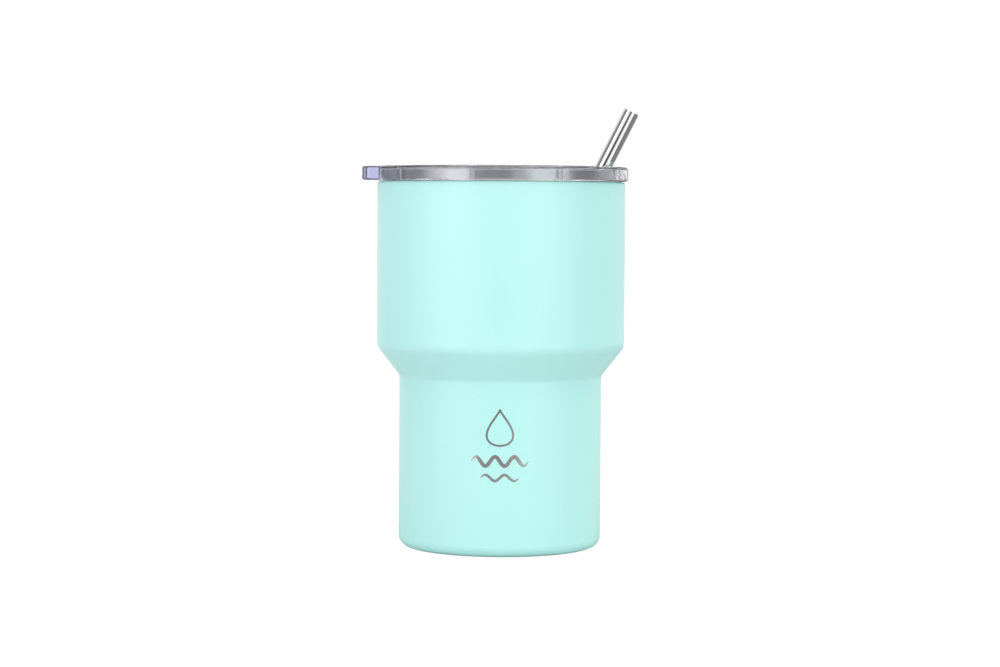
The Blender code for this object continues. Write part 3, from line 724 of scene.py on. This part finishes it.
def slider_rail(side):
    """One L-shaped rail on the dish floor; side is 1 at the back and -1 at the front."""
    wall_y = SLIDER_HALF_WIDTH + FIT_GAP
    root = DISH_FLOOR_TOP - RAIL_ROOT
    lip_bottom = SLIDER_BOTTOM + SLIDER_THICKNESS + RAIL_CLEARANCE
    edge = RAIL_EDGE_ROUND
    section = rounded([
        (wall_y, root, 0), (wall_y + RAIL_WALL, root, 0),
        (wall_y + RAIL_WALL, RAIL_TOP, edge), (wall_y - RAIL_LIP, RAIL_TOP, edge),
        (wall_y - RAIL_LIP, lip_bottom, edge), (wall_y, lip_bottom, edge),
    ], closed=True, steps=RAIL_ROUND_STEPS)
    rear = SLIDER_LOW.x
    rail = extruded(f"rail_{side}", section, RAIL_FRONT_X - rear)
    along_x = Matrix(((0, 0, 1, 0), (1, 0, 0, 0), (0, 1, 0, 0), (0, 0, 0, 1)))
    moved(rail, Matrix.Translation(((RAIL_FRONT_X + rear) / 2, 0, 0)) @ along_x)
    if side < 0:
        moved(rail, Matrix.Diagonal((1, -1, 1, 1)))
        rail.data.flip_normals()
    return rail


def make_lid(material):
    """Clear lid: flange and skirt over the lip, a plug in the mouth, and a dish inside."""
    lid = lathe("clear_lid", [
        (0, DISH_FLOOR_TOP, 0),
        (DISH_FLOOR_RADIUS, DISH_FLOOR_TOP, DISH_FLOOR_ROUND),
        (DISH_TOP_RADIUS, FLANGE_TOP, DISH_RIM_ROUND),
        (FLANGE_RADIUS, FLANGE_TOP, FLANGE_ROUND),
        (FLANGE_RADIUS, FLANGE_BOTTOM + SKIRT_CHAMFER_HEIGHT, SKIRT_EDGE_ROUND),
        (FLANGE_RADIUS - SKIRT_CHAMFER_DEPTH, FLANGE_BOTTOM, SKIRT_EDGE_ROUND),
        (SKIRT_INNER_RADIUS, FLANGE_BOTTOM, SKIRT_INNER_ROUND),
        (SKIRT_INNER_RADIUS, CHANNEL_TOP, CHANNEL_OUTER_ROUND),
        (PLUG_RADIUS, CHANNEL_TOP, CHANNEL_INNER_ROUND),
        (PLUG_RADIUS, SEAL_HIGH.z + FIT_GAP, SEAL_GROOVE_ROUND),
        (SEAL_GROOVE_RADIUS, SEAL_HIGH.z + FIT_GAP, SEAL_GROOVE_ROUND),
        (SEAL_GROOVE_RADIUS, SEAL_LOW.z - FIT_GAP, SEAL_GROOVE_ROUND),
        (PLUG_RADIUS, SEAL_LOW.z - FIT_GAP, SEAL_GROOVE_ROUND),
        (PLUG_RADIUS, PLUG_BOTTOM, PLUG_EDGE_ROUND),
        (PLUG_INNER_RADIUS, PLUG_BOTTOM, PLUG_INNER_ROUND),
        (PLUG_INNER_RADIUS, DISH_FLOOR_BOTTOM, DISH_UNDERSIDE_ROUND),
        (0, DISH_FLOOR_BOTTOM, 0),
    ])
    tools = []
    tools.append((make_tab(), "UNION"))
    tools.append((slider_rail(1), "UNION"))
    tools.append((slider_rail(-1), "UNION"))
    stop_front = SLIDER_LOW.x - FIT_GAP
    stop = box(
        "slider_stop", (stop_front - STOP_LENGTH, -STOP_HALF_WIDTH, DISH_FLOOR_TOP - RAIL_ROOT),
        (stop_front, STOP_HALF_WIDTH, DISH_FLOOR_TOP + STOP_HEIGHT))
    tools.append((stop, "UNION"))
    rib_low = (LIP_RADIUS + FIT_GAP, -RIB_HALF_WIDTH, FLANGE_BOTTOM + RIB_LIFT)
    rib_high = (SKIRT_INNER_RADIUS + RIB_ROOT, RIB_HALF_WIDTH, CHANNEL_TOP + RIB_TOP_ROOT)
    for i in range(RIB_COUNT):
        turn = Matrix.Rotation(RIB_FIRST_ANGLE + 2 * pi * i / RIB_COUNT, 4, "Z")
        tools.append((box(f"rib_{i}", rib_low, rib_high, turn), "UNION"))
    sip = extruded("sip_cut", sip_outline(), CUT_HEIGHT)
    moved(sip, Matrix.Translation((0, 0, DISH_FLOOR_BOTTOM)))
    tools.append((sip, "DIFFERENCE"))
    vent_place = Matrix.Translation((VENT_X, 0, DISH_FLOOR_BOTTOM))
    vent = cylinder("vent_cut", VENT_RADIUS, CUT_HEIGHT, vent_place)
    tools.append((vent, "DIFFERENCE"))
    lid = combine(lid, tools)
    place_piece(lid, "lid_body", "lid", material)


def make_seal():
    """Silicone ring in the plug's groove, with two soft rounded lips."""
    inner = SEAL_GROOVE_RADIUS + FIT_GAP
    outer = SEAL_HIGH.x
    waist = outer - SEAL_WAIST_DEPTH
    low = SEAL_LOW.z
    high = SEAL_HIGH.z
    lip = (high - low) / SEAL_BANDS
    slope = lip / SEAL_SLOPES
    seal = lathe("seal_ring", [
        (inner, high, 0),
        (outer, high, SEAL_ROUND),
        (outer, high - lip, SEAL_ROUND),
        (waist, high - lip - slope, SEAL_WAIST_ROUND),
        (waist, low + lip + slope, SEAL_WAIST_ROUND),
        (outer, low + lip, SEAL_ROUND),
        (outer, low, SEAL_ROUND),
        (inner, low, 0),
    ], closed=True)
    place_piece(seal, "lid_seal", "seal_ring", silicone())


def slider_outline():
    """Outline of the slider when open, at rest: an arc in front with a notch for the straw."""
    front = SLIDER_FRONT_RADIUS
    side = asin(SLIDER_HALF_WIDTH / front)
    mouth = asin(NOTCH_HALF_WIDTH / front)
    right = arc(front, -side, -mouth, SLIDER_FRONT_STEPS)
    left = [(x, -y) for x, y in reversed(right)]
    turns = [pi * i / NOTCH_STEPS for i in range(NOTCH_STEPS + 1)]
    notch = [
        (NOTCH_CENTRE_X - NOTCH_HALF_WIDTH * sin(a), -NOTCH_HALF_WIDTH * cos(a)) for a in turns
    ]
    rear_x = SLIDER_LOW.x + SLIDER_TRAVEL
    rear = [
        (rear_x, SLIDER_HALF_WIDTH, SLIDER_CORNER_ROUND),
        (rear_x, -SLIDER_HALF_WIDTH, SLIDER_CORNER_ROUND),
    ]
    outline = rounded([(x, y, 0) for x, y in right + notch + left] + rear, closed=True)
    return [(point.x - SLIDER_TRAVEL, point.y) for point in outline]


def make_slider(material):
    """Sip closure with a dished thumb grip, at its open position."""
    plate = extruded(
        "lid_slider", slider_outline(), SLIDER_THICKNESS, SLIDER_EDGE_ROUND, SLIDER_EDGE_STEPS)
    moved(plate, Matrix.Translation((0, 0, SLIDER_BOTTOM + SLIDER_THICKNESS / 2)))
    half = GRIP_LENGTH / 2
    outline = rounded([
        (half, -GRIP_HALF_WIDTH, GRIP_ROUND), (half, GRIP_HALF_WIDTH, GRIP_ROUND),
        (-half, GRIP_HALF_WIDTH, GRIP_ROUND), (-half, -GRIP_HALF_WIDTH, GRIP_ROUND),
    ], closed=True)
    grip_top = SLIDER_HIGH.z
    grip_bottom = SLIDER_BOTTOM + SLIDER_THICKNESS / 2
    grip_x = GRIP_CENTRE_X - SLIDER_TRAVEL
    grip = extruded("thumb_grip", outline, grip_top - grip_bottom, GRIP_EDGE_ROUND)
    moved(grip, Matrix.Translation((grip_x, 0, (grip_top + grip_bottom) / 2)))
    across = Matrix.Rotation(pi / 2, 4, "X")
    dip_place = Matrix.Translation((grip_x, 0, grip_top + DIP_RADIUS - DIP_DEPTH))
    dip = cylinder("grip_dip", DIP_RADIUS, DIP_LENGTH, dip_place @ across)
    slider = combine(plate, [(grip, "UNION"), (dip, "DIFFERENCE")])
    place_piece(slider, "slider", "closure", material)


def make_straw():
    """Straight polished tube with rounded rims, leaning out over the sip opening."""
    inner = STRAW_RADIUS - STRAW_WALL
    straw = lathe("steel_straw", [
        (inner, STRAW_LENGTH, STRAW_EDGE_ROUND),
        (STRAW_RADIUS, STRAW_LENGTH, STRAW_EDGE_ROUND),
        (STRAW_RADIUS, 0, STRAW_EDGE_ROUND),
        (inner, 0, STRAW_EDGE_ROUND),
    ], closed=True, segments=SMALL_SEGMENTS)
    straw.location = STRAW_END
    straw.rotation_euler = (0, STRAW_LEAN, 0)
    place_piece(straw, "straw", "straw", polished_steel())


def drop_path():
    """Closed outline of a water drop, point up, as (across, height)."""
    turns = [2 * pi * i / DROP_STEPS for i in range(DROP_STEPS)]
    widths = [sin(t) * abs(sin(t / 2)) ** DROP_TAPER for t in turns]
    scale = DROP_WIDTH / 2 / max(widths)
    heights = [DROP_CENTRE_Z + DROP_HEIGHT / 2 * cos(t) for t in turns]
    return [(scale * width, height) for width, height in zip(widths, heights)]


def wave_path(centre_z, length, height, waves):
    """A wavy line across the front, as (across, height)."""
    points = []
    for i in range(WAVE_STEPS + 1):
        along = i / WAVE_STEPS
        points.append((length * (along - 0.5), centre_z + height / 2 * sin(2 * pi * waves * along)))
    return points


def ribbon(shape, path, width, closed=False):
    """Add a flat stroke along a path, around the lower wall; an open one thins at its ends."""
    count = len(path)
    rings = []
    for i, (across, z) in enumerate(path):
        before = path[(i - 1) % count] if closed or i else path[i]
        after = path[(i + 1) % count] if closed or i < count - 1 else path[i]
        direction = Vector((after[0] - before[0], after[1] - before[1])).normalized()
        normal = Vector((-direction.y, direction.x))
        to_tip = min(i, count - 1 - i) / count
        taper = 1.0 if closed else max(WAVE_TIP, min(1.0, sqrt(WAVE_TAPER * to_tip)))
        ring = []
        corners = ((1, MARK_PROUD), (-1, MARK_PROUD), (-1, -MARK_DEPTH), (1, -MARK_DEPTH))
        for side, radius in corners:
            s = across + normal.x * side * width * taper / 2
            height = z + normal.y * side * width * taper / 2
            angle = s / LOWER_RADIUS
            reach = LOWER_RADIUS + radius
            ring.append(shape.verts.new((reach * sin(angle), -reach * cos(angle), height)))
        rings.append(ring)
    pairs = list(zip(rings, rings[1:]))
    if closed:
        pairs.append((rings[-1], rings[0]))
    for first, second in pairs:
        for k in range(4):
            n = (k + 1) % 4
            shape.faces.new((first[k], first[n], second[n], second[k]))
    if not closed:
        shape.faces.new(rings[0][::-1])
        shape.faces.new(rings[-1])


def make_mark():
    """Generic mark where the coat is lasered away to the steel: a drop over waves."""
    shape = bmesh.new()
    ribbon(shape, drop_path(), DROP_STROKE, closed=True)
    for centre_z, length, height, waves, stroke in WAVES:
        ribbon(shape, wave_path(centre_z, length, height, waves), stroke)
    bmesh.ops.recalc_face_normals(shape, faces=shape.faces)
    mesh = bpy.data.meshes.new("front_mark")
    shape.to_mesh(mesh)
    shape.free()
    smooth(mesh)
    mark = link("front_mark", mesh)
    bared = brushed_steel(
        "marked_steel", "height", (0.47, 0.465, 0.46), roughness=0.14, anisotropy=0.0)
    paint(mark, bared)
    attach(mark, "cup")


def finish_inner_nodes():
    """The pieces inside the vacuum gap keep their shape and get their own finishes."""
    foil = rough_metal(
        "bright_foil", (0.86, 0.86, 0.87), roughness=0.22, grain=420.0, depth=0.08 * MM)
    paint_node("reflector_foil", foil)
    paint_node("outer_base", brushed_steel("plate_steel", "radius"))
    clip = rough_metal(
        "clip_steel", (0.60, 0.60, 0.62), roughness=0.30, grain=1500.0, depth=0.01 * MM)
    paint_node("getter_clip", clip)
    pellet = rough_metal(
        "getter_alloy", (0.30, 0.30, 0.31), roughness=0.75, grain=2600.0, depth=0.05 * MM)
    paint_node("getter_pellet", pellet)
    paint_node("vacuum_seal_bead", glass_solder())


# ---------------------------------------------------------------- stage

def make_camera():
    data = bpy.data.cameras.new("camera")
    data.lens = CAMERA_LENS
    camera = link("camera", data)
    camera.matrix_world = (
        Matrix.Translation(CAMERA_PLACE)
        @ Matrix.Rotation(pi / 2 - CAMERA_PITCH, 4, "X")
        @ Matrix.Rotation(CAMERA_ROLL, 4, "Z"))
    bpy.context.scene.camera = camera


def make_floor():
    """Round table top: white to the camera, and a pale matt surface to everything else."""
    shape = bmesh.new()
    bmesh.ops.create_circle(shape, cap_ends=True, segments=SEGMENTS, radius=FLOOR_RADIUS)
    mesh = bpy.data.meshes.new("floor")
    shape.to_mesh(mesh)
    shape.free()
    floor = link("floor", mesh)
    floor.location.z = -FLOOR_DROP
    shader = Shader("white_table", Base_Color=TABLE_COLOUR, Roughness=0.9)
    white = shader.add("ShaderNodeEmission", Color=(1.0, 1.0, 1.0), Strength=WHITE_STRENGTH)
    show_white_to_camera(shader, shader.principled.outputs[0], white.outputs[0])
    paint(floor, shader.material)


def show_white_to_camera(nodes, surface, white):
    """Send plain white to the camera's own rays, and the real surface to all others."""
    from_camera = nodes.add("ShaderNodeLightPath").outputs["Is Camera Ray"]
    seen = nodes.add("ShaderNodeMixShader", Fac=from_camera)
    nodes.feed(seen.inputs[1], surface)
    nodes.feed(seen.inputs[2], white)
    output = nodes.tree.nodes.get("Material Output") or nodes.add("ShaderNodeOutputWorld")
    nodes.feed(output.inputs["Surface"], seen.outputs[0])


def make_studio():
    """Surroundings by azimuth and elevation: a white backdrop, each panel over the ones before."""
    world = bpy.data.worlds.new("studio")
    world.use_nodes = True
    nodes = Nodes(world.node_tree)
    nodes.tree.nodes.clear()
    direction = nodes.add("ShaderNodeTexCoord").outputs["Generated"]
    parts = nodes.add("ShaderNodeSeparateXYZ", Vector=direction).outputs
    towards_camera = nodes.math("MULTIPLY", parts["Y"], -1.0)
    azimuth = nodes.math("DEGREES", nodes.math("ARCTAN2", parts["X"], towards_camera))
    elevation = nodes.math("DEGREES", nodes.math("ARCSINE", parts["Z"]))
    light = BACKDROP
    for left, right, low, high, soft, radiance in STUDIO_PANELS:
        across = nodes.window(azimuth, left, right, soft)
        upright = nodes.window(elevation, low, high, soft)
        light = nodes.blend(nodes.math("MULTIPLY", across, upright), light, radiance)
    lit = nodes.add("ShaderNodeBackground", Color=light)
    white = nodes.add("ShaderNodeBackground", Color=(1.0, 1.0, 1.0), Strength=WHITE_STRENGTH)
    show_white_to_camera(nodes, lit.outputs[0], white.outputs[0])
    bpy.context.scene.world = world


def main():
    scene = bpy.context.scene
    scene.view_settings.view_transform = "Standard"
    make_camera()
    make_floor()
    make_studio()
    make_shell()
    make_liner()
    make_base()
    make_lid(clear_plastic("clear_lid_plastic"))
    make_seal()
    make_slider(clear_plastic("clear_slider_plastic"))
    make_straw()
    make_mark()
    finish_inner_nodes()


main()
